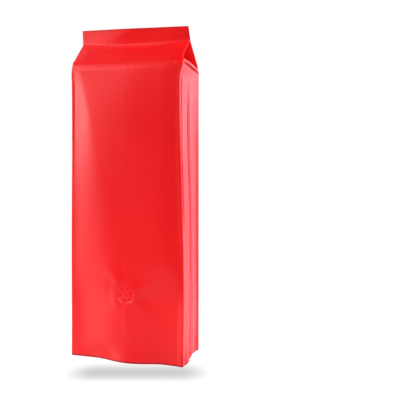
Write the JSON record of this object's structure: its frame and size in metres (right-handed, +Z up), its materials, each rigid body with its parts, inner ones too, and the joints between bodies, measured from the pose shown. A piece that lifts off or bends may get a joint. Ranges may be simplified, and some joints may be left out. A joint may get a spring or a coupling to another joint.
{
  "type": "foil valve bag",
  "caption": "Tall red matte laminate pouch with pleated sides, a folded gable top closed by a flat heat seal, and a round one-way vent valve low on the front panel.",
  "frame": {"origin": "middle of the base, on the surface that the bag stands on", "axes": "+Z up along the bag's height, -Y towards the front panel that carries the valve, +X to the right seen from the front"},
  "size_m": [0.1304, 0.078, 0.357],
  "materials": {
    "film": "satin",
    "valve_film": "satin"
  },
  "bodies": {
    "root": {"bag": "film", "valve": "valve_film"}
  },
  "joints": []
}
